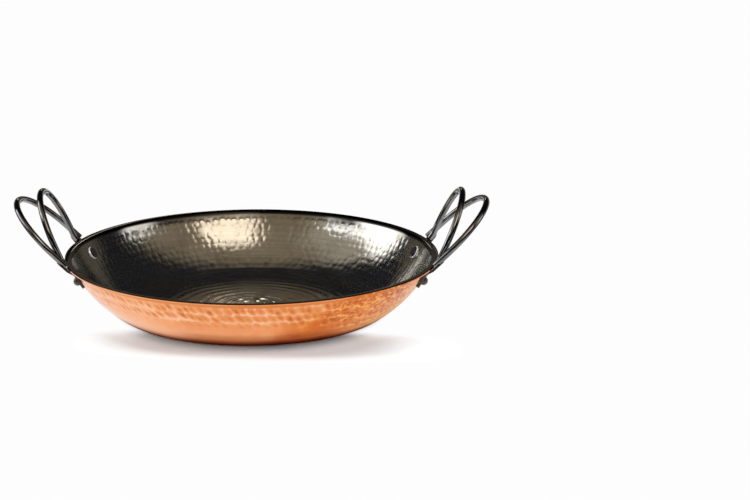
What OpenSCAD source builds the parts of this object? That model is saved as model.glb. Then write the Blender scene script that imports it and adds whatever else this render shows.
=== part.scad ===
// Round copper skillet with two double-loop rod handles.
// Millimetres, +Z up, base on Z = 0, handles along X.

/* [Pan] */

// Rim diameter over the lip
rim_diameter = 330; // [280:1:430]

// Height from the base to the top of the lip
pan_height = 50.3; // [44:0.1:60]

// Copper sheet thickness
copper_thickness = 1.7; // [1.2:0.1:2.2]

// Tin lining thickness
tin_thickness = 0.3; // [0.2:0.05:0.5]

// Outside radius where the base turns up into the wall
base_corner_radius = 12; // [8:0.5:16]

// Wall slope just above the base corner, in degrees
wall_slope_low = 33; // [30:0.5:36]

// Wall slope just under the lip, in degrees
wall_slope_high = 65; // [62:0.5:68]

// Slope of the lip, in degrees
lip_slope = 6; // [3:0.5:10]

// Distance from the rim edge to the centre of the lip bend
lip_reach = 3.65; // [3.2:0.05:4.2]

// Radius under the lip bend
lip_bend_radius = 1; // [0.8:0.1:1.4]

/* [Handle rods] */

// Rod diameter
rod_diameter = 5.6; // [5:0.1:6]

// Gap between the two rods side by side on a tab
rod_gap = 0.3; // [0.2:0.05:0.6]

// Distance of each tab from the handle axis, where it passes the rim
anchor_offset = 48; // [44:0.5:54]

// Slope of the outer loop, in degrees
outer_slope = 44; // [42:0.5:46]

// Slope of the upright loop, in degrees
upright_slope = 66.6; // [62:0.2:70]

// Outer loop: from the rim level to the centre of its round end
outer_leg = 16.6; // [14:0.1:20]

// Upright loop: from its foot bend to the centre of its round end
upright_leg = 11.2; // [9:0.2:14]

// Upright loop: from the rim level to the vertex of its foot bend
foot_length = 4.7; // [4.4:0.1:5.4]

// Height of the rod axes outside the rim's edge, at rim level
rod_standoff = 0.7; // [0.5:0.05:0.9]

/* [Tabs and rivets] */

// Tab thickness
tab_thickness = 2; // [1.6:0.1:2.2]

// Tab width
tab_width = 13; // [12:0.5:14]

// Tab width at its top end
tab_top_width = 10; // [9.4:0.1:10.6]

// Tab end below the rivet, measured down the wall
tab_below_rivet = 8; // [7:0.1:9]

// Tab top end above the rivet, measured up the wall
tab_above_rivet = 24.5; // [23.5:0.1:25.5]

// Length of the taper towards the tab's top end
tab_taper_length = 15; // [13:0.5:17]

// Clearance between the tab and the lip's lower edge
lip_clearance = 0.35; // [0.3:0.05:0.5]

// Slope of the tab's run under the lip, in degrees
under_lip_slope = 30; // [26:1:34]

// Rivet centre below the rim
rivet_drop = 13.2; // [12.6:0.1:13.8]

// Rivet shank diameter
rivet_shank_diameter = 4.8; // [4:0.1:5.2]

// Rivet clearance in its bore, each side
bore_clearance = 0.1; // [0.05:0.05:0.15]

// Outer rivet head diameter
outer_head_diameter = 7.6; // [7:0.1:8]

// Outer rivet head height
outer_head_height = 3.4; // [2.8:0.1:3.6]

// Inner rivet head diameter
inner_head_diameter = 12; // [11:0.1:13]

// Height of the inner head's round side, if it ran on to a full dome
inner_head_dome = 3; // [2.6:0.1:3.4]

// Inner rivet head height, up to its flat face
inner_head_height = 1.8; // [1.4:0.1:2.2]

// Clearance between the inner rivet head's edge and the lining
head_clearance = 0.08; // [0.05:0.01:0.12]

/* [Hidden] */

$fn = 96;
turn_fn = 180;

rim_radius = rim_diameter / 2;
sheet = copper_thickness + tin_thickness;

// Lip bend centre, and the point where the wall arc ends under the lip.
lip_x = rim_radius - lip_reach;
under_x = lip_x - lip_bend_radius * sin(lip_slope);
under_z = pan_height - sheet / cos(lip_slope) - (rim_radius - under_x) * tan(lip_slope);
lip_z = under_z - lip_bend_radius * cos(lip_slope);
wall_top_x = lip_x - lip_bend_radius * sin(wall_slope_high);
wall_top_z = lip_z + lip_bend_radius * cos(wall_slope_high);

// How far tangent arcs are made to cross each other.
cross = 0.02;

// How far cutting shapes pass the faces that they cut.
cut_spare = 5;

// Wall arc, tangent to the base corner and to the lip bend.
corner_rise = base_corner_radius * (1 - cos(wall_slope_low));
slope_span = cos(wall_slope_low) - cos(wall_slope_high);
wall_radius = (wall_top_z - corner_rise) / slope_span;
wall_x = wall_top_x - wall_radius * sin(wall_slope_high);
wall_z = wall_top_z + wall_radius * cos(wall_slope_high);
base_radius = wall_x + (wall_radius - base_corner_radius) * sin(wall_slope_low);

// Rivet place on the outside of the wall. Each tab runs straight down the wall.
rivet_z = pan_height - rivet_drop;
rivet_slope = acos((wall_z - rivet_z) / wall_radius);
rivet_x = wall_x + wall_radius * sin(rivet_slope);
tab_azimuth = asin(anchor_offset / rim_radius);
bore_diameter = rivet_shank_diameter + 2 * bore_clearance;

// Tab strip: its face turns at a point just clear of the lip's lower edge,
// from the run under the lip to the run that lies beneath the rods.
strip_slope = atan(tan(outer_slope) / cos(tab_azimuth));
lip_edge_z = pan_height - sheet / cos(lip_slope);
turn_x = rim_radius + lip_clearance * sin(strip_slope);
turn_z = lip_edge_z - lip_clearance * cos(strip_slope);
strip_dir = [cos(strip_slope), sin(strip_slope)];
strip_out = [sin(strip_slope), -cos(strip_slope)];
under_dir = [cos(under_lip_slope), sin(under_lip_slope)];
under_out = [sin(under_lip_slope), -cos(under_lip_slope)];
turn_out = (strip_out + under_out) / (1 + strip_out * under_out);

// Lengths of the two runs in the section, longer than what the outline keeps.
strip_length = tab_above_rivet;
under_length = rivet_drop + cut_spare;

// Where the run under the lip leaves the wall's outer surface.
turn_v = [turn_x - wall_x, turn_z - wall_z];
turn_dot = turn_v * under_dir;
leave_run = sqrt(turn_dot * turn_dot - turn_v * turn_v + wall_radius * wall_radius) - turn_dot;
leave_point = turn_v + leave_run * under_dir;
leave_overlap = 0.03;
leave_angle = atan2(leave_point[1], leave_point[0]) - leave_overlap;

// Wall angle at which the tab's section ends, below its rounded end.
tab_end_angle = rivet_slope - 90 - (tab_below_rivet + cut_spare) / wall_radius * 180 / PI;

// Rods. Both loops start a little outside the rim level's crossing point.
rod_radius = rod_diameter / 2;
foot_start = 1.2;
outer_y = anchor_offset + (rod_diameter + rod_gap) / 2;
upright_y = anchor_offset - (rod_diameter + rod_gap) / 2;
axis_radius = rim_radius + rod_standoff;
outer_x = sqrt(axis_radius * axis_radius - outer_y * outer_y);
foot_x = sqrt(axis_radius * axis_radius - upright_y * upright_y);
bend_turn = upright_slope - outer_slope;
bend_tangent = foot_length - foot_start;
foot_bend_radius = bend_tangent / tan(bend_turn / 2);
vertex_x = foot_x + foot_length * cos(outer_slope);
vertex_z = pan_height + foot_length * sin(outer_slope);

// The inner head stands on the curved lining with its edge.
head_sag = pow(inner_head_diameter / 2, 2) / (2 * (wall_radius - sheet));
head_lift = head_sag + head_clearance;

copper_color = [0.84, 0.5, 0.31];
tin_color = [0.42, 0.42, 0.43];
steel_color = [0.72, 0.72, 0.73];

// Part of a disc between two angles, in the plane.
module disc_sector(r, a0, a1) {
    far = 2 * r;
    am = (a0 + a1) / 2;
    intersection() {
        circle(r = r);
        polygon([
            [0, 0],
            [far * cos(a0), far * sin(a0)],
            [far * cos(am), far * sin(am)],
            [far * cos(a1), far * sin(a1)]
        ]);
    }
}

// Half section of all that lies within the sheet's face at one depth.
// The arcs cross by a hair instead of only touching.
module inside_section(depth) {
    top = pan_height + cut_spare + depth;
    far_x = rim_radius + cut_spare;
    bend = lip_bend_radius + depth;
    lip_start = [lip_x - bend * sin(lip_slope), lip_z + bend * cos(lip_slope)];
    lip_run = far_x - lip_start[0];
    overlap_angle = 93 + wall_slope_high;
    overlap_dir = [cos(overlap_angle), sin(overlap_angle)];
    corner_x = base_radius + 2 * cross;
    difference() {
        union() {
            polygon([[0, depth], [corner_x, depth], [corner_x, top], [0, top]]);
            translate([corner_x, base_corner_radius])
                circle(r = base_corner_radius - depth);
            translate([wall_x, wall_z])
                disc_sector(wall_radius - depth, wall_slope_low - 90, wall_slope_high - 90);
            polygon([
                [0, wall_top_z / 2],
                [lip_x, lip_z] + (bend + cut_spare) * overlap_dir,
                [lip_x, lip_z],
                lip_start,
                lip_start + lip_run * [1, tan(lip_slope)],
                [far_x, top],
                [0, top]
            ]);
        }
        translate([lip_x, lip_z])
            circle(r = bend + cross);
    }
}

// Half section of the sheet between two depths, cut off upright at the rim.
module sheet_section(d0, d1) {
    intersection() {
        difference() {
            inside_section(d0);
            inside_section(d1);
        }
        square([rim_radius, pan_height + cut_spare]);
    }
}

// Plane area on the pan's side of the strip's face at one depth.
module strip_side(depth, spare, back) {
    near = [turn_x, turn_z] - (under_length + spare) * under_dir;
    tip = [turn_x, turn_z] + (strip_length + spare) * strip_dir;
    polygon([
        near + depth * under_out,
        [turn_x, turn_z] + depth * turn_out,
        tip + depth * strip_out,
        tip - back * strip_out,
        near - back * under_out
    ]);
}

// Section of the tabs: a band against the wall, then the strip.
module tab_section() {
    difference() {
        union() {
            translate([wall_x, wall_z])
                disc_sector(wall_radius + tab_thickness, tab_end_angle, leave_angle);
            strip_side(tab_thickness, 0, cut_spare);
        }
        translate([wall_x, wall_z])
            circle(r = wall_radius);
        strip_side(0, cut_spare, 2 * cut_spare);
    }
}

// Places children at the rear right rivet: Z out along its axis, X down the wall.
module at_rivet() {
    rotate([0, 0, tab_azimuth])
        translate([rivet_x, 0, rivet_z])
            rotate([0, 180 - rivet_slope, 0])
                children();
}

// Outline of a tab seen along its rivet, with a round end at either side.
module tab_outline() {
    half = tab_width / 2;
    top_half = tab_top_width / 2;
    round_x = tab_below_rivet - half;
    top_x = top_half - tab_above_rivet;
    taper_x = tab_taper_length - tab_above_rivet;
    translate([round_x, 0])
        circle(d = tab_width);
    translate([top_x, 0])
        circle(d = tab_top_width);
    polygon([
        [round_x, -half],
        [round_x, half],
        [taper_x, half],
        [top_x, top_half],
        [top_x, -top_half],
        [taper_x, -half]
    ]);
}

module tab_prism() {
    reach = tab_above_rivet;
    at_rivet()
        translate([0, 0, -reach])
            linear_extrude(height = 2 * reach)
                tab_outline();
}

// A turned section, only as wide as one tab needs.
module tab_turn() {
    reach = 8;
    rotate([0, 0, tab_azimuth - reach])
        rotate_extrude(angle = 2 * reach, $fn = turn_fn)
            children();
}

module rear_right_tab() {
    difference() {
        intersection() {
            tab_turn()
                tab_section();
            tab_prism();
        }
        at_rivet()
            translate([0, 0, -cut_spare])
                cylinder(d = bore_diameter, h = tab_thickness + 2 * cut_spare);
    }
}

// Room under the rods: the tab's strip, taken further outwards.
module rear_right_lap() {
    turn = [turn_x, turn_z];
    tip = turn + strip_length * strip_dir;
    depth = tab_thickness + cut_spare;
    intersection() {
        tab_turn()
            polygon([turn, tip, tip + depth * strip_out, turn + depth * strip_out]);
        tab_prism();
    }
}

module rivet_bores() {
    for (mx = [0, 1], my = [0, 1])
        mirror([mx, 0, 0])
            mirror([0, my, 0])
                at_rivet()
                    translate([0, 0, -sheet - cut_spare])
                        cylinder(d = bore_diameter, h = sheet + 2 * cut_spare);
}

// Rivet head on Z = 0: a sphere cap, cut off flat where its top height is lower.
module rivet_head(d, dome, top) {
    ball = (d * d / 4 + dome * dome) / (2 * dome);
    intersection() {
        translate([0, 0, dome - ball])
            sphere(r = ball);
        cylinder(d = 2 * d, h = top);
    }
}

// The shank runs into the middle of both heads.
module rear_right_rivet() {
    shank_start = -sheet - head_lift - inner_head_height / 2;
    shank_end = tab_thickness + outer_head_height / 2;
    at_rivet() {
        translate([0, 0, tab_thickness])
            rivet_head(outer_head_diameter, outer_head_height, 2 * outer_head_height);
        translate([0, 0, shank_start])
            cylinder(d = rivet_shank_diameter, h = shank_end - shank_start);
        translate([0, 0, -sheet - head_lift])
            mirror([0, 0, 1])
                rivet_head(inner_head_diameter, inner_head_dome, inner_head_height);
    }
}

// Round end of a loop: half a turn of rod about Z, open towards -X.
module half_ring(r) {
    rotate([0, 0, -90])
        rotate_extrude(angle = 180, $fn = turn_fn)
            translate([r, 0])
                circle(r = rod_radius, $fn = 48);
}

module rod_along_x(from_x, to_x) {
    translate([from_x, 0, 0])
        rotate([0, 90, 0])
            cylinder(r = rod_radius, h = to_x - from_x, $fn = 48);
}

module laps_cut() {
    difference() {
        children();
        rear_right_lap();
        mirror([0, 1, 0])
            rear_right_lap();
    }
}

module right_outer_rod() {
    laps_cut()
        translate([outer_x, 0, pan_height])
            rotate([0, -outer_slope, 0]) {
                translate([outer_leg, 0, 0])
                    half_ring(outer_y);
                for (s = [-1, 1])
                    translate([0, s * outer_y, 0])
                        rod_along_x(foot_start, outer_leg);
            }
}

// Bent foot in the upright loop's own plane, its upper end facing +X.
module upright_foot() {
    translate([bend_tangent, upright_y, foot_bend_radius])
        rotate([90, 0, 0])
            rotate([0, 0, -90])
                rotate_extrude(angle = -bend_turn, $fn = turn_fn)
                    translate([foot_bend_radius, 0])
                        circle(r = rod_radius, $fn = 48);
}

module right_upright_rod() {
    laps_cut()
        translate([vertex_x, 0, vertex_z])
            rotate([0, -upright_slope, 0]) {
                translate([upright_leg, 0, 0])
                    half_ring(upright_y);
                for (m = [0, 1])
                    mirror([0, m, 0]) {
                        translate([0, upright_y, 0])
                            rod_along_x(bend_tangent, upright_leg);
                        upright_foot();
                    }
            }
}

module pan_shell() {
    color(copper_color)
        difference() {
            rotate_extrude($fn = turn_fn)
                sheet_section(0, copper_thickness);
            rivet_bores();
        }
}

module tin_lining() {
    color(tin_color)
        difference() {
            rotate_extrude($fn = turn_fn)
                sheet_section(copper_thickness, sheet);
            rivet_bores();
        }
}

module right_upright_loop() {
    color(steel_color)
        right_upright_rod();
}

module right_outer_loop() {
    color(steel_color)
        right_outer_rod();
}

module right_rear_tab() {
    color(steel_color)
        rear_right_tab();
}

module right_front_tab() {
    color(steel_color)
        mirror([0, 1, 0])
            rear_right_tab();
}

module right_rear_rivet() {
    color(steel_color)
        rear_right_rivet();
}

module right_front_rivet() {
    color(steel_color)
        mirror([0, 1, 0])
            rear_right_rivet();
}

module left_upright_loop() {
    mirror([1, 0, 0])
        right_upright_loop();
}

module left_outer_loop() {
    mirror([1, 0, 0])
        right_outer_loop();
}

module left_rear_tab() {
    mirror([1, 0, 0])
        right_rear_tab();
}

module left_front_tab() {
    mirror([1, 0, 0])
        right_front_tab();
}

module left_rear_rivet() {
    mirror([1, 0, 0])
        right_rear_rivet();
}

module left_front_rivet() {
    mirror([1, 0, 0])
        right_front_rivet();
}

pan_shell();
tin_lining();
left_upright_loop();
left_outer_loop();
left_front_tab();
left_rear_tab();
left_front_rivet();
left_rear_rivet();
right_upright_loop();
right_outer_loop();
right_front_tab();
right_rear_tab();
right_front_rivet();
right_rear_rivet();
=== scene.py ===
import math
from collections import namedtuple

import bpy
import numpy as np
from mathutils import Matrix, Vector


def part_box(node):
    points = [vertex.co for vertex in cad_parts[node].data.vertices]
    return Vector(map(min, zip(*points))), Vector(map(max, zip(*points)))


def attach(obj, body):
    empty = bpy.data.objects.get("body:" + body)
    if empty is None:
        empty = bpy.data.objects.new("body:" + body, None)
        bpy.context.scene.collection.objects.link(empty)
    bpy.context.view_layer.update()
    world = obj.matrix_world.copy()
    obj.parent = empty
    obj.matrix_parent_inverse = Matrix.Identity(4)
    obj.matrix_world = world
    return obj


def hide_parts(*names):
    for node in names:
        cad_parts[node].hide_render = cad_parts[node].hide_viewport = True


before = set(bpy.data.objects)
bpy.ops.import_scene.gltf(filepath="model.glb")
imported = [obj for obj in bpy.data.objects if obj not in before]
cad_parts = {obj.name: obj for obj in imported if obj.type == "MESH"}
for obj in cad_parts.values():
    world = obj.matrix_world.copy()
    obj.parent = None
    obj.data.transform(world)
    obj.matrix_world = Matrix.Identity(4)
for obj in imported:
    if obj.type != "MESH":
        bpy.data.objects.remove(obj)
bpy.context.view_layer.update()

MM = 0.001


# Pan section, in millimetres
# The rim, the height and the copper's thickness come from the frame, to a hundredth. The
# other sizes are those of the part's source.
LINING_LOW, LINING_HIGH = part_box("tin_lining")
RIM_R, PAN_H = round(LINING_HIGH[0] / MM, 2), round(LINING_HIGH[2] / MM, 2)
COPPER, TIN = round(LINING_LOW[2] / MM, 2), 0.3
SHEET = COPPER + TIN
CORNER_R = 12.0
SLOPE_LOW, SLOPE_HIGH, SLOPE_LIP = map(math.radians, (33.0, 65.0, 6.0))
LIP_REACH, BEND_R = 3.65, 1.0
RIVET_DROP = 13.2

LIP_X = RIM_R - LIP_REACH
UNDER_X = LIP_X - BEND_R * math.sin(SLOPE_LIP)
UNDER_Z = PAN_H - SHEET / math.cos(SLOPE_LIP) - (RIM_R - UNDER_X) * math.tan(SLOPE_LIP)
LIP_Z = UNDER_Z - BEND_R * math.cos(SLOPE_LIP)
WALL_TOP_X = LIP_X - BEND_R * math.sin(SLOPE_HIGH)
WALL_TOP_Z = LIP_Z + BEND_R * math.cos(SLOPE_HIGH)
WALL_R = (WALL_TOP_Z - CORNER_R * (1 - math.cos(SLOPE_LOW))) / (
    math.cos(SLOPE_LOW) - math.cos(SLOPE_HIGH))
WALL_X = WALL_TOP_X - WALL_R * math.sin(SLOPE_HIGH)
WALL_Z = WALL_TOP_Z + WALL_R * math.cos(SLOPE_HIGH)
BASE_R = WALL_X + (WALL_R - CORNER_R) * math.sin(SLOPE_LOW)

# Length of the straight steps along the lip's section
LIP_STEP = 0.9


def arc(cx, cz, r, a0, a1, step):
    """Points and outward normals on an arc; the normal points away from the centre."""
    n = max(2, int(math.ceil(abs(a1 - a0) * r / step)) + 1)
    a = np.linspace(a0, a1, n)
    return np.stack([cx + r * np.cos(a), cz + r * np.sin(a), np.cos(a), np.sin(a)], 1)


def line(p, q, step):
    """Points and normals on a straight line; the normal points to the right of its way."""
    p, q = np.array(p, float), np.array(q, float)
    d = q - p
    length = float(np.hypot(*d))
    n = max(2, int(math.ceil(length / step)) + 1)
    t = np.linspace(0, 1, n)[:, None]
    nx, nz = d[1] / length, -d[0] / length
    return np.hstack([p + t * d, np.tile([nx, nz], (n, 1))])


def section(depth, floor_step, wall_step, bend_step):
    """Rows r, z, nr, nz from the middle of the floor to the rim's edge.

    The normal points to the outside of the pan, down and outwards."""
    quarter = math.pi / 2
    bend_r = BEND_R + depth
    bend = arc(LIP_X, LIP_Z, bend_r, quarter + SLOPE_HIGH, quarter + SLOPE_LIP, bend_step)
    bend[:, 2:] *= -1
    start = (LIP_X - bend_r * math.sin(SLOPE_LIP), LIP_Z + bend_r * math.cos(SLOPE_LIP))
    end = (RIM_R, start[1] + (RIM_R - start[0]) * math.tan(SLOPE_LIP))
    parts = [
        line((0.0, depth), (BASE_R, depth), floor_step),
        arc(BASE_R, CORNER_R, CORNER_R - depth, -quarter, SLOPE_LOW - quarter, wall_step),
        arc(WALL_X, WALL_Z, WALL_R - depth, SLOPE_LOW - quarter, SLOPE_HIGH - quarter,
            wall_step),
        bend,
        line(start, end, LIP_STEP),
    ]
    return np.vstack(parts[:1] + [part[1:] for part in parts[1:]])


def arc_length(rows):
    """Length along the section from the middle of the floor to each row."""
    steps = np.hypot(*np.diff(rows[:, :2], axis=0).T)
    return np.concatenate([[0], np.cumsum(steps)])


# Hammer marks, in millimetres
def smoothstep(x, a, b):
    t = np.clip((x - a) / (b - a), 0, 1)
    return t * t * (3 - 2 * t)


class Marks:
    """Rows of shallow blows round the pan: a field of depth over the wall."""

    # How far blows differ: along their row as a share of the pitch, in level, in tilt up the
    # wall and round it, and in the radius of the ball as factors.
    ROUND_SCATTER = 0.2
    LEVEL_SCATTER = 0.07
    TILT_UP, TILT_ROUND = 0.014, 0.016
    BALL_LOW, BALL_HIGH = 0.85, 1.25
    # Height over which the edge between two blows is rounded
    SOFT = 0.012
    NEAR_ROWS = 4

    def __init__(self, section_rows, seed, low, high, row_step, pitch, ball, tall, slant,
                 scatter):
        rng = np.random.default_rng(seed)
        self.lengths = np.arange(low, high + 0.01, row_step)
        self.tall = tall
        self.slant = slant
        self.rows = []
        radii = np.interp(self.lengths, arc_length(section_rows), section_rows[:, 0])
        for k, r in enumerate(radii):
            count = int(round(2 * math.pi * r / pitch))
            shift = 0.5 * (k % 2)
            moved = rng.uniform(-self.ROUND_SCATTER, self.ROUND_SCATTER, count)
            self.rows.append({
                "count": count,
                "shift": shift,
                "angle": (np.arange(count) + shift + moved) / count * 2 * math.pi,
                "length": self.lengths[k] + rng.normal(0, scatter, count),
                "level": rng.uniform(0, self.LEVEL_SCATTER, count),
                "tilt_up": rng.normal(0, self.TILT_UP, count),
                "tilt_round": rng.normal(0, self.TILT_ROUND, count),
                "ball": ball * rng.uniform(self.BALL_LOW, self.BALL_HIGH, count),
            })

    def depth(self, length, r, theta):
        """How far the surface lies above the floor of its blow, along one ring.

        The second result runs from -1 at the upper edge of the blow to 1 at its lower."""
        heights, places = [], []
        for k in np.argsort(np.abs(self.lengths - length))[:self.NEAR_ROWS]:
            row = self.rows[k]
            nearest = theta / (2 * math.pi) * row["count"] - row["shift"]
            nearest = np.floor(nearest).astype(int)
            for step in (-1, 0, 1, 2):
                blow = (nearest + step) % row["count"]
                angle = theta - row["angle"][blow]
                angle = (angle + math.pi) % (2 * math.pi) - math.pi
                up = length - row["length"][blow]
                across = angle * r + self.slant * up
                up = up / self.tall
                height = (across * across + up * up) / (2 * row["ball"][blow])
                height = height + row["level"][blow]
                height = height + row["tilt_up"][blow] * up + row["tilt_round"][blow] * across
                heights.append(height)
                places.append(-up)
        heights, places = np.array(heights), np.array(places)
        lowest = heights.min(0)
        place = np.take_along_axis(places, heights.argmin(0)[None], 0)[0]
        half = 0.5 * (self.lengths[1] - self.lengths[0]) / self.tall
        rounded = np.log(np.exp(-(heights - lowest) / self.SOFT).sum(0))
        return lowest - self.SOFT * rounded, place / half


# Turned meshes
FINE = 1000
BACK_HALVINGS = (100, 50)
# Value of the marks' painted shade where there is neither painted shade nor painted highlight
NO_MARK_SHADE = 0.5


def turn_angles(n):
    return np.arange(n) * (2 * math.pi / n)


def count_at(r, halvings):
    """Points of a ring: the full count, halved once for each radius that it lies within."""
    return FINE >> sum(r <= radius for radius in halvings)


def ring_points(n, r, z, out=0.0, nr=0.0, nz=0.0):
    """A ring of points, each moved out along the section's normal."""
    theta = turn_angles(n)
    rr = r + nr * out
    zz = z + nz * out
    return np.stack([rr * np.cos(theta), rr * np.sin(theta), zz + np.zeros(n)], 1)


def new_object(name, verts, faces, smooth=True):
    mesh = bpy.data.meshes.new(name)
    mesh.from_pydata([tuple(v) for v in verts], [], [tuple(f) for f in faces])
    mesh.update()
    if smooth:
        mesh.polygons.foreach_set("use_smooth", [True] * len(mesh.polygons))
    obj = bpy.data.objects.new(name, mesh)
    bpy.context.scene.collection.objects.link(obj)
    return obj


class Turned:
    """A closed turned mesh, built ring by ring; rings may halve or double."""

    def __init__(self):
        self.verts, self.faces, self.mark_shade = [], [], []
        self.last = None
        self.count = 0

    def _add(self, pts, mark_shade=None):
        start = self.count
        self.verts.append(pts)
        self.mark_shade.append(np.full(len(pts), NO_MARK_SHADE) if mark_shade is None else mark_shade)
        self.count += len(pts)
        return start

    def point(self, z):
        start = self._add(np.array([[0.0, 0.0, z]]))
        if self.last is not None:
            s0, n = self.last
            self.faces += [(start, s0 + i, s0 + (i + 1) % n) for i in range(n)]
        self.last = (start, 1)

    def ring(self, pts, mark_shade=None):
        n = len(pts)
        start = self._add(pts, mark_shade)
        s0, m = self.last
        if m == 1:
            self.faces += [(s0, start + (i + 1) % n, start + i) for i in range(n)]
        elif m == n:
            self.faces += [
                (s0 + i, s0 + (i + 1) % n, start + (i + 1) % n, start + i) for i in range(n)]
        elif n == 2 * m:
            for i in range(m):
                a, b = s0 + i, s0 + (i + 1) % m
                p, q, r = start + 2 * i, start + 2 * i + 1, start + (2 * i + 2) % n
                self.faces += [(a, q, p), (a, b, q), (b, r, q)]
        elif m == 2 * n:
            for i in range(n):
                a, b = start + i, start + (i + 1) % n
                p, q, r = s0 + 2 * i, s0 + 2 * i + 1, s0 + (2 * i + 2) % m
                self.faces += [(p, q, a), (q, b, a), (q, r, b)]
        else:
            raise ValueError("a ring must keep, halve or double its count")
        self.last = (start, n)

    def back(self, drop):
        """The face between copper and tin, from the rim to the middle of the floor."""
        rows = section(COPPER, floor_step=60.0, wall_step=12.0, bend_step=1.5)
        for r, z, _, _ in rows[-2:0:-1]:
            self.ring(ring_points(count_at(r, BACK_HALVINGS), r, z - drop))
        self.point(rows[0, 1] - drop)

    def build(self, name, from_inside=False):
        """The finished object; from_inside says that the first ring lay on its upper face."""
        faces = [face[::-1] for face in self.faces] if from_inside else self.faces
        obj = new_object(name, np.vstack(self.verts) * MM, faces)
        # The blows' painted shade and highlight, kept on each point as the ridge attribute
        ridge = obj.data.attributes.new("ridge", "FLOAT", "POINT")
        ridge.data.foreach_set("value", np.concatenate(self.mark_shade).astype(np.float32))
        return obj


def wander(theta, seed, waves, lowest):
    """A smooth closed wave round the pan, between about -1 and 1."""
    rng = np.random.default_rng(seed)
    total = np.zeros_like(theta)
    for k in range(waves):
        total += rng.normal(0, 1) * np.sin((lowest + k) * theta + rng.uniform(0, 6.3))
    return total / math.sqrt(waves)


# Pan shell
# Depth of a blow, and the radii within which a ring has half as many points
SHELL_MARK = 0.42
SHELL_HALVINGS = (84, 40, 16)
# Length up the wall from which the blows are at full depth, at the sides and at the front,
# and how far it wanders. Below it they keep only a small share of their depth.
START_SIDES, START_FRONT, START_DRIFT = 17, 41, 3.0
FAINT_SHARE = 0.12
# Height above a blow's floor at which its edge gets the most painted highlight
MARK_SHADE_HEIGHT = 0.32
# The base is plain up to the first radius, and the cut edge begins beyond the second.
PLAIN_R = 100.0
EDGE_START = RIM_R - 0.3
# Gap that keeps the copper's hidden face clear of the tin's
BACK_GAP = 0.02


def build_shell():
    """The copper: its hammered outside, and a cut edge that covers the lining's edge."""
    rows = section(0.0, floor_step=16.0, wall_step=1.05, bend_step=0.5)
    lengths = arc_length(rows)
    top = lengths[np.argmax(rows[:, 0] >= WALL_TOP_X - 0.01)]
    marks = Marks(rows, seed=11, low=BASE_R + 4, high=top + 5, row_step=9.4, pitch=6.9,
                  ball=21.0, tall=1.5, slant=0.45, scatter=1.25)
    # The blows reach far down the wall at the sides, and less far at the front.
    theta = turn_angles(FINE)
    front = np.clip(-np.sin(theta + 0.25), 0, 1)
    start = START_SIDES + (START_FRONT - START_SIDES) * smoothstep(front, 0.45, 0.85)
    start = start + START_DRIFT * wander(theta, seed=3, waves=6, lowest=3)
    turned = Turned()
    turned.point(rows[0, 1])
    for (r, z, nr, nz), at in zip(rows[1:], lengths[1:]):
        if r < min(PLAIN_R, BASE_R):
            turned.ring(ring_points(count_at(r, SHELL_HALVINGS), r, z))
            continue
        if r > EDGE_START:
            break
        fade = FAINT_SHARE + (1 - FAINT_SHARE) * smoothstep(at - BASE_R, start - 5, start + 7)
        fade = fade * smoothstep(at, BASE_R + 1, BASE_R + 7)
        fade = fade * (1 - smoothstep(at, top - 4.0, top - 0.5))
        out, mark_shade = 0.0, None
        if fade.max() > 0.002:
            depth, place = marks.depth(at, r, theta)
            out = -fade * (SHELL_MARK - np.minimum(depth, SHELL_MARK))
            # Painted shade in the hollows of the blows and painted highlight on their rims,
            # lighter at each blow's lower edge and dimmer at its upper edge.
            mark_shade = np.clip(depth / MARK_SHADE_HEIGHT, 0, 1) - NO_MARK_SHADE
            mark_shade = mark_shade - 0.3 * (1 - smoothstep(place, -0.4, 0.7)) * (mark_shade > 0)
            mark_shade = np.clip(mark_shade + 0.12 * smoothstep(place, 0.0, 1.0), -0.5, 0.5)
            mark_shade = NO_MARK_SHADE + fade * mark_shade
        turned.ring(ring_points(FINE, r, z, out, nr, nz), mark_shade)
    # The cut edge, its corners eased, as insets from the rim and rises from its two faces.
    lower_corner = [(0.35, -0.06), (0.1, 0.06), (0.0, 0.32)]
    upper_corner = [(0.0, -0.38), (0.1, -0.12), (0.32, -0.04)]
    for level, corner in ((rows[-1, 1], lower_corner), (PAN_H, upper_corner)):
        for inset, rise in corner:
            turned.ring(ring_points(FINE, RIM_R - inset, level + rise))
    turned.back(BACK_GAP)
    return turned.build("copper_shell")


# Tin lining
LINING_MARK = 0.24
LINING_HALVINGS = (104, 98, 30)
# Share of their depth that the marks keep low on the wall, and at the front
LOW_SHARE, FRONT_SHARE = 0.62, 0.22
# The floor's rings: from one to the next, and half their depth
RING_PITCH, RING_SIZE = 9.2, 0.08
# The deepest that rings and marks may go, so that some tin is left
LINING_DEEPEST = 0.27
LINING_END = RIM_R - 0.4


def floor_rings(at, theta):
    """How deep the turned rings go at a distance from the middle of the floor."""
    phase = 2 * math.pi * at / RING_PITCH
    drift = 0.9 * wander(theta, seed=5, waves=6, lowest=2)
    drift = drift + 0.5 * wander(theta, seed=6, waves=6, lowest=9)
    size = RING_SIZE * smoothstep(at, 3, 14) * (1 - smoothstep(at, BASE_R - 14, BASE_R - 4))
    ring = int(at / RING_PITCH)
    size = size * (1 + 0.35 * wander(theta, seed=7 + ring, waves=5, lowest=4))
    return size * (1 + np.cos(phase + 0.6 * drift))


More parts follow.
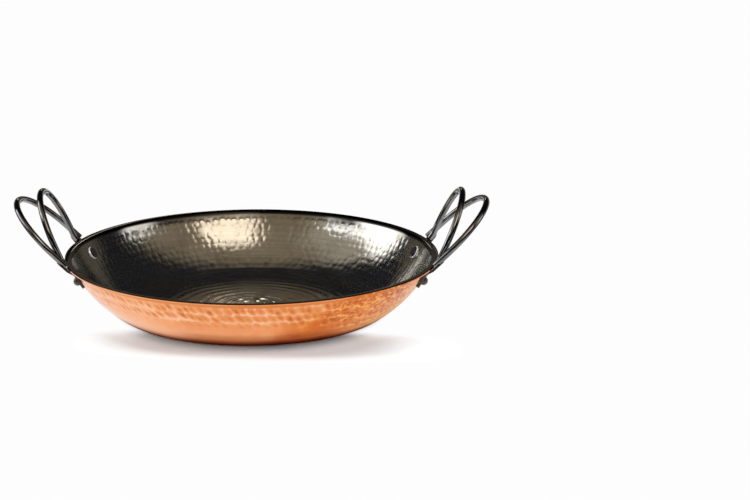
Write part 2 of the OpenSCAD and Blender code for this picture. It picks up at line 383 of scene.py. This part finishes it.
def build_lining():
    """The tin inside: rings on the floor, hammer marks on the wall, and the smooth lip."""
    rows = section(SHEET, floor_step=1.5, wall_step=1.35, bend_step=0.45)
    lengths = arc_length(rows)
    top = lengths[np.argmax(rows[:, 0] >= WALL_TOP_X - 3.0)]
    marks = Marks(rows, seed=23, low=BASE_R - 1, high=top + 4, row_step=6.6, pitch=6.4,
                  ball=36.0, tall=1.08, slant=0.0, scatter=0.45)
    turned = Turned()
    turned.point(rows[0, 1])
    for (r, z, nr, nz), at in zip(rows[1:], lengths[1:]):
        if r > LINING_END:
            break
        n = count_at(r, LINING_HALVINGS)
        theta = turn_angles(n)
        out = floor_rings(at, theta) if at < BASE_R - 4 else np.zeros(n)
        fade = smoothstep(at, BASE_R - 8, BASE_R - 1)
        fade = fade * (1 - smoothstep(at, top - 3.5, top + 0.5))
        higher = smoothstep(at, BASE_R + 14, BASE_R + 30)
        fade = fade * (LOW_SHARE + (1 - LOW_SHARE) * higher)
        if fade > 0.002:
            depth, _ = marks.depth(at, r, theta)
            behind = smoothstep(np.sin(theta), 0.05, 0.55)
            fade = fade * (FRONT_SHARE + (1 - FRONT_SHARE) * behind)
            out = out + fade * (LINING_MARK - np.minimum(depth, LINING_MARK))
        turned.ring(ring_points(n, r, z, np.minimum(out, LINING_DEEPEST), nr, nz))
    turned.ring(ring_points(FINE, RIM_R - 0.33, PAN_H - 0.07))
    turned.back(0.0)
    return turned.build("tin_inside", from_inside=True)


# Materials
# Sockets of the colour mode of the Mix node
MIX_FACTOR, MIX_A, MIX_B, MIX_RESULT = 0, 6, 7, 2

Place = namedtuple("Place", "coords x y z r")


class Nodes:
    """A small helper that writes a node tree."""

    def __init__(self, tree):
        self.tree = tree
        tree.nodes.clear()

    def add(self, kind, **values):
        node = self.tree.nodes.new(kind)
        for key, value in values.items():
            setattr(node, key, value)
        return node

    def link(self, a, b):
        self.tree.links.new(a, b)

    def feed(self, value, socket):
        """Sets a socket to a number or a colour, or links it to an output."""
        if isinstance(value, (int, float)):
            socket.default_value = value
        elif hasattr(value, "__len__"):
            socket.default_value = (*value, 1.0)
        else:
            self.link(value, socket)

    def split(self, vector):
        node = self.add("ShaderNodeSeparateXYZ")
        self.link(vector, node.inputs[0])
        return node.outputs

    def place(self):
        """The point on the object in metres, and its distance from the pan's axis."""
        coords = self.add("ShaderNodeTexCoord").outputs["Object"]
        x, y, z = self.split(coords)
        square = self.math("ADD", self.math("MULTIPLY", x, x), self.math("MULTIPLY", y, y))
        return Place(coords, x, y, z, self.math("SQRT", square))

    def noise(self, coords, scale, detail, rough):
        node = self.add("ShaderNodeTexNoise")
        node.inputs["Scale"].default_value = scale
        node.inputs["Detail"].default_value = detail
        node.inputs["Roughness"].default_value = rough
        self.link(coords, node.inputs["Vector"])
        return node.outputs["Fac"]

    def stretch(self, coords, scale):
        node = self.add("ShaderNodeMapping")
        node.inputs["Scale"].default_value = scale
        self.link(coords, node.inputs["Vector"])
        return node.outputs["Vector"]

    def ramp(self, fac, stops):
        node = self.add("ShaderNodeValToRGB")
        ramp = node.color_ramp
        ramp.interpolation = "EASE"
        while len(ramp.elements) < len(stops):
            ramp.elements.new(0.5)
        for element, (at, colour) in zip(ramp.elements, stops):
            element.position = at
            if not hasattr(colour, "__len__"):
                colour = (colour, colour, colour)
            element.color = (*colour, 1.0)
        self.link(fac, node.inputs["Fac"])
        return node.outputs["Color"]

    def profile(self, value, stops):
        """A ramp whose stops are in the value's own unit, and end at the last of them."""
        end = stops[-1][0]
        span = self.math("MULTIPLY", value, 1.0 / end, clamp=True)
        return self.ramp(span, [(at / end, colour) for at, colour in stops])

    def step(self, value, start, end, kind="SMOOTHSTEP"):
        """0 up to the start and 1 from the end, which may be the lower of the two."""
        node = self.add("ShaderNodeMapRange", interpolation_type=kind)
        self.link(value, node.inputs["Value"])
        node.inputs["From Min"].default_value = min(start, end)
        node.inputs["From Max"].default_value = max(start, end)
        node.inputs["To Min"].default_value = float(start > end)
        node.inputs["To Max"].default_value = float(start < end)
        return node.outputs[0]

    def math(self, operation, a, b=0.5, clamp=False):
        node = self.add("ShaderNodeMath", operation=operation, use_clamp=clamp)
        self.feed(a, node.inputs[0])
        self.feed(b, node.inputs[1])
        return node.outputs[0]

    def times(self, first, *others):
        for other in others:
            first = self.math("MULTIPLY", first, other)
        return first

    def shares(self, a, share, b):
        """The share of one value, and the rest from the other."""
        return self.math("ADD", self.times(a, share), self.times(b, 1.0 - share))

    def mix(self, fac, a, b, blend="MIX"):
        node = self.add("ShaderNodeMix", data_type="RGBA", blend_type=blend)
        self.feed(fac, node.inputs[MIX_FACTOR])
        self.feed(a, node.inputs[MIX_A])
        self.feed(b, node.inputs[MIX_B])
        return node.outputs[MIX_RESULT]

    def surface(self, colour, rough, bump, strength, distance, metallic):
        shader = self.add("ShaderNodeBsdfPrincipled")
        self.link(colour, shader.inputs["Base Color"])
        self.link(rough, shader.inputs["Roughness"])
        shader.inputs["Metallic"].default_value = metallic
        node = self.add("ShaderNodeBump")
        node.inputs["Strength"].default_value = strength
        node.inputs["Distance"].default_value = distance
        self.link(bump, node.inputs["Height"])
        self.link(node.outputs[0], shader.inputs["Normal"])
        self.link(shader.outputs[0], self.add("ShaderNodeOutputMaterial").inputs[0])


def material(name):
    mat = bpy.data.materials.new(name)
    mat.use_nodes = True
    return mat, Nodes(mat.node_tree)


def turned_scratches(n, at, fine):
    """Fine lines that run round the pan: noise over radius and height, which hardly drifts."""
    join = n.add("ShaderNodeCombineXYZ")
    n.link(n.times(at.r, fine), join.inputs[0])
    n.link(n.times(at.z, fine), join.inputs[1])
    wave = n.math("SINE", n.times(n.math("ARCTAN2", at.y, at.x), 3.0))
    n.link(n.times(wave, 0.6), join.inputs[2])
    return n.noise(join.outputs[0], 1.0, 4.0, 0.65)


# Heights in metres: a darker turned band under the rim, and the start of the cut edge's painted
# dark reflection
BAND_LOW, BAND_FULL, BAND_HIGH = 0.0435, 0.0460, 0.0485
CUT_EDGE_Z, CUT_EDGE_SOFT = (PAN_H - 0.7) * MM, 0.0003


def copper_material():
    """Hammered copper with painted light: pink at the left, redder to the right and golden at
    the right front as painted reflection, painted shade and highlight on the blows, and painted
    glints.
    """
    mat, n = material("copper_hammered")
    at = n.place()
    patches = n.noise(at.coords, 26.0, 4.0, 0.6)
    clouds = n.noise(at.coords, 9.0, 3.0, 0.5)
    lines = turned_scratches(n, at, 900.0)
    grain = n.noise(at.coords, 900.0, 3.0, 0.6)
    # The border of the golden side leans outwards and wanders with the clouds.
    border = n.math("SUBTRACT", at.x, n.times(at.z, 1.9))
    border = n.math("ADD", border, n.times(clouds, 0.08))
    side = n.times(n.step(border, 0.02, 0.06), n.step(at.y, 0.04, -0.02))
    # Painted reflection: pink at the left, redder in the middle and a darker gold on the right
    # side, where the copper mirrors darker surroundings.
    pink = n.ramp(patches, [(0.3, (0.90, 0.36, 0.14)), (0.52, (0.95, 0.40, 0.165)),
                            (0.75, (0.99, 0.46, 0.21))])
    red = n.ramp(patches, [(0.3, (0.80, 0.26, 0.08)), (0.52, (0.86, 0.31, 0.11)),
                           (0.75, (0.92, 0.37, 0.145))])
    gold = n.ramp(patches, [(0.35, (0.55, 0.11, 0.012)), (0.5, (0.72, 0.18, 0.03)),
                            (0.68, (0.90, 0.31, 0.07))])
    base = n.mix(n.ramp(n.math("ADD", at.x, 0.1), [(0.0, 0.0), (0.1, 1.0)]), pink, red)
    base = n.mix(side, base, gold)
    # Painted shade in the blows' hollows and a painted highlight on their crests. Some blows
    # show strongly and some hardly, and their hollows less on the golden side.
    ridge = n.add("ShaderNodeAttribute", attribute_name="ridge").outputs["Fac"]
    uneven = n.ramp(n.noise(at.coords, 80.0, 2.0, 0.5), [(0.35, 0.45), (0.62, 1.0)])
    hollow = n.times(n.ramp(ridge, [(0.0, 0.95), (0.5, 0.0)]), uneven)
    hollow = n.times(hollow, n.math("SUBTRACT", 1.0, n.times(side, 0.5)))
    crest = n.times(n.ramp(ridge, [(0.5, 0.0), (1.0, 0.85)]), uneven)
    base = n.mix(hollow, base, n.mix(side, (0.52, 0.135, 0.035), (0.38, 0.075, 0.008)))
    base = n.mix(crest, base, n.mix(side, (1.0, 0.60, 0.38), (1.0, 0.48, 0.16)))
    # The golden side also gets painted glints and dark specks, a painted sparkle off fine bumps,
    # but for its lower part near the middle.
    speckle = n.noise(n.stretch(at.coords, (240.0, 240.0, 420.0)), 1.0, 3.0, 0.6)
    sparkle_area = n.times(side, n.step(n.math("ADD", at.x, at.z), 0.08, 0.11))
    painted_dark_specks = n.times(sparkle_area, n.ramp(speckle, [(0.36, 0.6), (0.48, 0.0)]))
    painted_glints = n.times(sparkle_area, n.ramp(speckle, [(0.52, 0.0), (0.64, 0.85)]))
    base = n.mix(painted_dark_specks, base, (0.52, 0.10, 0.01))
    base = n.mix(painted_glints, base, (1.0, 0.50, 0.17))
    band = n.times(n.step(at.z, BAND_LOW, BAND_FULL), n.math("LESS_THAN", at.z, BAND_HIGH), 0.55)
    base = n.mix(band, base, (0.60, 0.17, 0.035))
    base = n.mix(n.ramp(lines, [(0.35, 0.16), (0.6, 0.0)]), base, (0.66, 0.22, 0.06))
    # The cut edge is painted as dark as the lip that it ends, a painted dark reflection.
    cut_edge = n.step(at.z, CUT_EDGE_Z - CUT_EDGE_SOFT, CUT_EDGE_Z)
    base = n.mix(cut_edge, base, (0.03, 0.012, 0.006))
    rough = n.ramp(n.shares(patches, 0.5, lines), [(0.3, 0.10), (0.7, 0.22)])
    n.surface(base, rough, n.shares(lines, 0.6, grain), 0.12, 0.00012, metallic=1.0)
    return mat


# Radii in metres: the start of the lip's painted dark reflection, and the smoother floor
LIP_TONE_R, LIP_TONE_SOFT = (LIP_X - 3.4) * MM, 0.0006
WALL_TONE_R, FLOOR_TONE_R = 0.105, 0.09


def tin_material():
    """Satin tin with faint turned lines, a smoother floor and a polished lip painted black as a
    painted dark reflection.
    """
    mat, n = material("tin_lining")
    at = n.place()
    patches = n.noise(at.coords, 34.0, 5.0, 0.62)
    clouds = n.noise(at.coords, 8.0, 3.0, 0.5)
    lines = turned_scratches(n, at, 700.0)
    wipes = n.noise(n.stretch(at.coords, (40.0, 40.0, 260.0)), 1.0, 5.0, 0.6)
    grain = n.noise(at.coords, 1100.0, 3.0, 0.6)
    base = n.ramp(patches, [(0.3, (0.36, 0.345, 0.325)), (0.55, (0.47, 0.455, 0.43)),
                            (0.78, (0.54, 0.53, 0.51))])
    base = n.mix(n.ramp(clouds, [(0.45, 0.0), (0.75, 0.45)]), base, (0.40, 0.36, 0.30))
    base = n.mix(n.ramp(lines, [(0.35, 0.3), (0.6, 0.0)]), base, (0.27, 0.26, 0.25))
    # The lip is painted near black: a painted dark reflection.
    lip = n.step(at.r, LIP_TONE_R, LIP_TONE_R + LIP_TONE_SOFT, "LINEAR")
    base = n.mix(lip, base, (0.012, 0.011, 0.011))
    rough = n.ramp(n.shares(wipes, 0.6, lines), [(0.3, 0.09), (0.7, 0.20)])
    rough = n.mix(lip, rough, (0.03, 0.03, 0.03))
    on_floor = n.step(at.r, WALL_TONE_R, FLOOR_TONE_R, "LINEAR")
    rough = n.mix(on_floor, rough, (0.045, 0.045, 0.045))
    n.surface(base, rough, n.shares(lines, 0.5, grain), 0.14, 0.00012, metallic=0.98)
    return mat


RIVET_Z = PAN_H - RIVET_DROP
RIVET_SLOPE = math.acos((WALL_Z - RIVET_Z) / WALL_R)
RIVET_R = WALL_X + WALL_R * math.sin(RIVET_SLOPE)
# Where the middle of the sheet lies along a rivet's axis; the inner head is short of it.
RIVET_MIDDLE = (RIVET_R * math.sin(RIVET_SLOPE) - RIVET_Z * math.cos(RIVET_SLOPE)
                - SHEET / 2) * MM
# How squarely a face of the inner head must look into the pan to count as its flat top
FLAT_TOP = 0.70


def inner_head_painted_light(n, at, base):
    """Inside the pan a rivet's head is painted black on its flat top, a painted dark reflection,
    with a painted white highlight on its round side.
    """
    nx, ny, nz = n.split(n.add("ShaderNodeNewGeometry").outputs["Normal"])
    outward = n.math("DIVIDE", n.math("ADD", n.times(nx, at.x), n.times(ny, at.y)), at.r)
    facing = n.math("SUBTRACT", n.times(nz, math.cos(RIVET_SLOPE)),
                    n.times(outward, math.sin(RIVET_SLOPE)))
    head = n.mix(n.math("GREATER_THAN", facing, FLAT_TOP), (0.92, 0.91, 0.89),
                 (0.02, 0.02, 0.022))
    along = n.math("SUBTRACT", n.times(at.r, math.sin(RIVET_SLOPE)),
                   n.times(at.z, math.cos(RIVET_SLOPE)))
    return n.mix(n.math("LESS_THAN", along, RIVET_MIDDLE), base, head)


def steel_material(name, low, high, rough_low, rough_high, metallic=1.0, tones=None):
    """Drawn steel between two tones; a function may add tones of its own."""
    mat, n = material(name)
    at = n.place()
    patches = n.noise(at.coords, 60.0, 4.0, 0.6)
    drawn = n.noise(n.stretch(at.coords, (120.0, 900.0, 900.0)), 1.0, 3.0, 0.6)
    grain = n.noise(at.coords, 1400.0, 2.0, 0.5)
    base = n.ramp(patches, [(0.3, low), (0.7, high)])
    if tones is not None:
        base = tones(n, at, base)
    rough = n.ramp(n.shares(patches, 0.4, drawn), [(0.3, rough_low), (0.7, rough_high)])
    n.surface(base, rough, n.shares(drawn, 0.5, grain), 0.08, 0.0001, metallic)
    return mat


# Pieces
COPPER_MAT = copper_material()
TIN_MAT = tin_material()
# The rods and rivet heads are kept dark as a painted dark reflection, and the tabs darker still
# as painted shade.
STEEL_MATS = {
    "loop": steel_material("steel_rod", (0.15, 0.148, 0.15), (0.26, 0.258, 0.262), 0.03, 0.08),
    "tab": steel_material("steel_tab", (0.045, 0.038, 0.035), (0.09, 0.078, 0.07), 0.20, 0.34),
    "rivet": steel_material("steel_rivet", (0.06, 0.052, 0.05), (0.11, 0.095, 0.09), 0.06, 0.12,
                            metallic=0.15, tones=inner_head_painted_light),
}

shell = build_shell()
shell.data.materials.append(COPPER_MAT)
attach(shell, "root")
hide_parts("pan_shell")

lining = build_lining()
lining.data.materials.append(TIN_MAT)
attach(lining, "root")
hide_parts("tin_lining")

for name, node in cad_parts.items():
    mat = STEEL_MATS.get(name.split("_")[-1])
    if mat is not None:
        node.data.materials.clear()
        node.data.materials.append(mat)


# Stage
def looked_at(n):
    """Whether a ray sees the set in a mirror, and whether straight from the camera.

    Light that metal throws on the floor counts as neither."""
    path = n.add("ShaderNodeLightPath")
    mirrored = n.math("MAXIMUM", path.outputs["Is Glossy Ray"],
                      path.outputs["Is Transmission Ray"])
    first = n.math("LESS_THAN", path.outputs["Diffuse Depth"], 0.5)
    return n.times(mirrored, first), path.outputs["Is Camera Ray"]


def shadow_oval(n, at):
    """0 in the middle of the painted shadow, which lies to the front, and 1 at its rim."""
    def squareness(value, middle, half):
        gap = n.math("ABSOLUTE", n.math("SUBTRACT", value, middle))
        return n.math("POWER", n.times(gap, 1.0 / half), 3.0)

    slanted = n.math("ADD", at.y, n.times(at.x, 0.07))
    oval = n.math("ADD", squareness(at.x, 0.014, 0.160), squareness(slanted, -0.112, 0.045))
    return n.math("POWER", oval, 1.0 / 3.0)


def shaded_floor(n, at, oval):
    """The floor's tone in the shadow, cool under the pan, and a painted shadow that is dimmer
    towards the middle.
    """
    shade = n.profile(at.r, [
        (0.0, (1.4, 1.95, 2.2)), (0.125, (1.45, 2.03, 2.26)), (0.135, (1.8, 2.15, 2.3)),
        (0.15, (1.5, 1.62, 1.66)), (0.2, (1.6, 1.7, 1.72))])
    # A painted shadow: the floor dims towards the middle of the oval in front.
    dim = n.profile(oval, [(0.0, 0.62), (0.5, 0.66), (0.8, 0.84), (1.0, 1.0)])
    return n.mix(1.0, shade, dim, "MULTIPLY")


def mirrored_floor(n, at):
    """The floor as metal shows it: a painted shadow at the pan's foot, white round it, then dim.
    """
    foot = BASE_R * MM
    near = n.profile(at.r, [
        (0.0, (0.03, 0.01, 0.01)), (foot + 0.0052, (0.10, 0.03, 0.02)),
        (foot + 0.0072, (0.26, 0.11, 0.08)), (foot + 0.0092, (0.66, 0.50, 0.38)),
        (foot + 0.0135, (0.95, 0.93, 0.90)), (foot + 0.019, 1.0), (0.29, 1.0),
        (0.34, 0.12), (0.6, 0.12), (0.9, 0.9)])
    # Under the middle of the front the painted shadow at the foot is deeper.
    middle = n.profile(n.math("ABSOLUTE", n.math("SUBTRACT", at.x, 0.01)),
                       [(0.0, 1.0), (0.05, 1.0), (0.085, 0.0), (0.1, 0.0)])
    deep = n.profile(at.r, [
        (0.0, 0.2), (foot + 0.006, (0.45, 0.3, 0.25)), (foot + 0.012, (0.66, 0.56, 0.46)),
        (foot + 0.022, 1.0), (0.2, 1.0)])
    near = n.mix(middle, near, n.mix(1.0, near, deep, "MULTIPLY"))
    # In front of the pan the floor is white further out.
    ahead = n.times(n.math("LESS_THAN", at.y, -0.07),
                    n.math("GREATER_THAN", at.r, 0.2), n.math("LESS_THAN", at.r, 0.45))
    plain = n.mix(ahead, near, (1.0, 1.0, 1.0))
    # Near the pan's right side it is tinted warm: painted warm light thrown by the copper.
    warm = n.times(n.profile(at.r, [(0.0, 1.0), (0.13, 0.9), (0.165, 0.25), (0.2, 0.0)]),
                   n.profile(at.x, [(0.0, 0.0), (0.015, 0.0), (0.05, 1.0), (0.2, 1.0)]))
    return n.mix(warm, plain, n.mix(1.0, plain, (0.88, 0.70, 0.42), "MULTIPLY"))


def floor_material():
    """White to the eye and in reflections, and it keeps the object's shadow, with a painted
    shadow added in front.
    """
    mat, n = material("floor_white")
    at = n.place()
    mirrored, camera_ray = looked_at(n)
    oval = shadow_oval(n, at)
    outside = n.times(n.profile(oval, [(0.0, 0.0), (0.65, 0.0), (1.05, 1.0), (1.2, 1.0)]),
                      n.profile(at.r, [(0.0, 0.0), (0.108, 0.0), (0.124, 1.0), (0.2, 1.0)]))
    lit = n.add("ShaderNodeBsdfDiffuse")
    n.link(n.mix(camera_ray, (0.80, 0.80, 0.80), shaded_floor(n, at, oval)), lit.inputs[0])
    glow = n.add("ShaderNodeEmission")
    n.link(n.mix(mirrored, (0.985, 0.985, 0.985), mirrored_floor(n, at)), glow.inputs[0])
    blend = n.add("ShaderNodeMixShader")
    n.link(n.math("MAXIMUM", mirrored, n.times(outside, camera_ray)), blend.inputs[0])
    n.link(lit.outputs[0], blend.inputs[1])
    n.link(glow.outputs[0], blend.inputs[2])
    n.link(blend.outputs[0], n.add("ShaderNodeOutputMaterial").inputs[0])
    return mat


# Half width of the floor, and its drop below the base, so that the two faces don't mix
FLOOR_HALF, FLOOR_DROP = 9, 0.0003
floor_corners = [(x * FLOOR_HALF, y * FLOOR_HALF, -FLOOR_DROP)
                 for x, y in ((-1, -1), (1, -1), (1, 1), (-1, 1))]
floor = new_object("floor", floor_corners, [(0, 1, 2, 3)], smooth=False)
floor.data.materials.append(floor_material())


def build_world():
    """White where it is seen, and a plain soft light where it isn't."""
    world = bpy.data.worlds.new("studio")
    bpy.context.scene.world = world
    world.use_nodes = True
    n = Nodes(world.node_tree)
    back = n.add("ShaderNodeBackground")
    seen = n.math("MAXIMUM", *looked_at(n))
    n.link(n.mix(seen, (0.72, 0.72, 0.73), (1.0, 1.0, 1.0)), back.inputs[0])
    n.link(back.outputs[0], n.add("ShaderNodeOutputWorld").inputs[0])


build_world()

DOME_RADIUS, DOME_ROWS, DOME_COLUMNS = 4.0, 40, 96
DOME_LOWEST = math.radians(1.0)
# Soft boxes on the dome, in degrees. Each has its angle round the set, counted from the front
# or from behind, and its height above the floor. Both are a lower end and its soft edge, then
# an upper end and its soft edge.
SOFT_BOXES = [
    ("front", (-118, 10, -48, 14), (34, 8, 62, 8), (0.56, 0.51, 0.41)),
    ("front", (-3, 5, 49, 4), (43, 4, 71, 7), (2.5, 2.2, 1.75)),
    ("front", (-122, 5, -82, 7), (14, 5, 37, 6), (3.2, 3.2, 3.1)),
    ("front", (78, 6, 101, 5), (10, 4, 34, 6), (1.7, 1.65, 1.55)),
    ("front", (-84, 3, -58, 3), (35, 3, 42, 3), (2.6, 2.7, 2.8)),
    ("behind", (-50, 10, 50, 10), (4, 3, 20, 4), (0.13, 0.11, 0.085)),
    ("behind", (-5.0, 0.7, -2.5, 0.7), (18.0, 1.0, 22.0, 1.0), (5.6, 4.9, 3.8)),
]


def dome_object():
    verts, faces = [], []
    for i in range(DOME_ROWS + 1):
        e = DOME_LOWEST + (math.pi / 2 - DOME_LOWEST) * i / DOME_ROWS
        for j in range(DOME_COLUMNS):
            a = 2 * math.pi * j / DOME_COLUMNS
            verts.append((DOME_RADIUS * math.cos(e) * math.cos(a),
                          DOME_RADIUS * math.cos(e) * math.sin(a), DOME_RADIUS * math.sin(e)))
    for i in range(DOME_ROWS):
        low, high = i * DOME_COLUMNS, (i + 1) * DOME_COLUMNS
        for j in range(DOME_COLUMNS):
            k = (j + 1) % DOME_COLUMNS
            faces.append((low + j, low + k, high + k, high + j))
    return new_object("studio_dome", verts, faces)


def dome_material():
    """A dim warm room in front and overhead, black behind, with the soft boxes."""
    mat, n = material("studio_dome")
    unit = n.add("ShaderNodeVectorMath", operation="NORMALIZE")
    n.link(n.add("ShaderNodeTexCoord").outputs["Object"], unit.inputs[0])
    dx, dy, dz = n.split(unit.outputs[0])
    forward = n.times(dy, -1.0)
    elevation = n.math("ARCSINE", dz)
    angles = {"front": n.math("ARCTAN2", dx, forward), "behind": n.math("ARCTAN2", dx, dy)}

    def window(value, low, low_edge, high, high_edge):
        low, low_edge, high, high_edge = map(math.radians, (low, low_edge, high, high_edge))
        return n.math("SUBTRACT", n.step(value, low - low_edge, low + low_edge),
                      n.step(value, high - high_edge, high + high_edge), clamp=True)

    overhead = n.step(elevation, math.radians(30.0), math.radians(40.0))
    room = n.times(n.step(forward, -0.32, 0.08), overhead)
    colour = n.mix(room, (0.012, 0.013, 0.017), (0.33, 0.27, 0.18))
    for side, turn, height, tone in SOFT_BOXES:
        box = n.times(window(angles[side], *turn), window(elevation, *height))
        colour = n.mix(box, colour, tone)
    mirrored, _ = looked_at(n)
    glow = n.add("ShaderNodeEmission")
    n.link(n.mix(mirrored, (0.2, 0.2, 0.2), colour), glow.inputs[0])
    n.link(glow.outputs[0], n.add("ShaderNodeOutputMaterial").inputs[0])
    return mat


# The dim studio round the set, which only polished metal shows
dome = dome_object()
dome.data.materials.append(dome_material())
for ray in ("camera", "diffuse", "volume_scatter", "shadow"):
    setattr(dome, "visible_" + ray, False)

LAMP_TARGET = (0, 0, 0.03)


def softbox(name, place, size, energy, colour):
    data = bpy.data.lights.new(name, "AREA")
    data.shape = "RECTANGLE"
    data.size, data.size_y = size
    data.energy = energy
    data.color = colour
    lamp = bpy.data.objects.new(name, data)
    lamp.location = place
    aim = Vector(LAMP_TARGET) - Vector(place)
    lamp.rotation_mode = "QUATERNION"
    lamp.rotation_quaternion = aim.to_track_quat("-Z", "Y")
    lamp.visible_glossy = False
    lamp.visible_camera = False
    bpy.context.scene.collection.objects.link(lamp)


softbox("key", (0.75, -1.3, 2.1), (1.3, 1.0), energy=14.0, colour=(1.0, 0.98, 0.95))
softbox("side", (-2.0, 0.3, 1.2), (1.0, 1.0), energy=5.0, colour=(0.95, 0.98, 1.0))


# Camera
# Fitted to the photograph: its width, the focal length, the column of the point looked at and
# that point's drop below the middle row, all in pixels.
PHOTO_W, FOCAL_PX, TARGET_COLUMN, TARGET_DROP = 750.0, 1860.8, 251.54, 2.08
SENSOR_W = 36.0
CAMERA_TARGET = (0.0, 0.0, PAN_H * MM)
CAMERA_OFFSET = (0.0504, -1.5956, 0.4173)
CAMERA_ROLL = math.radians(-0.6)


def build_camera():
    data = bpy.data.cameras.new("camera")
    data.sensor_width = SENSOR_W
    data.lens = FOCAL_PX / PHOTO_W * SENSOR_W
    data.shift_x = (PHOTO_W / 2 - TARGET_COLUMN) / PHOTO_W
    data.shift_y = TARGET_DROP / PHOTO_W
    data.clip_start, data.clip_end = 0.05, 60.0
    camera = bpy.data.objects.new("camera", data)
    bpy.context.scene.collection.objects.link(camera)
    target = Vector(CAMERA_TARGET)
    camera.location = target + Vector(CAMERA_OFFSET)
    camera.rotation_mode = "QUATERNION"
    aim = (target - camera.location).to_track_quat("-Z", "Y")
    camera.rotation_quaternion = aim @ Matrix.Rotation(CAMERA_ROLL, 3, "Z").to_quaternion()
    bpy.context.scene.camera = camera


build_camera()
bpy.context.scene.view_settings.view_transform = "Standard"
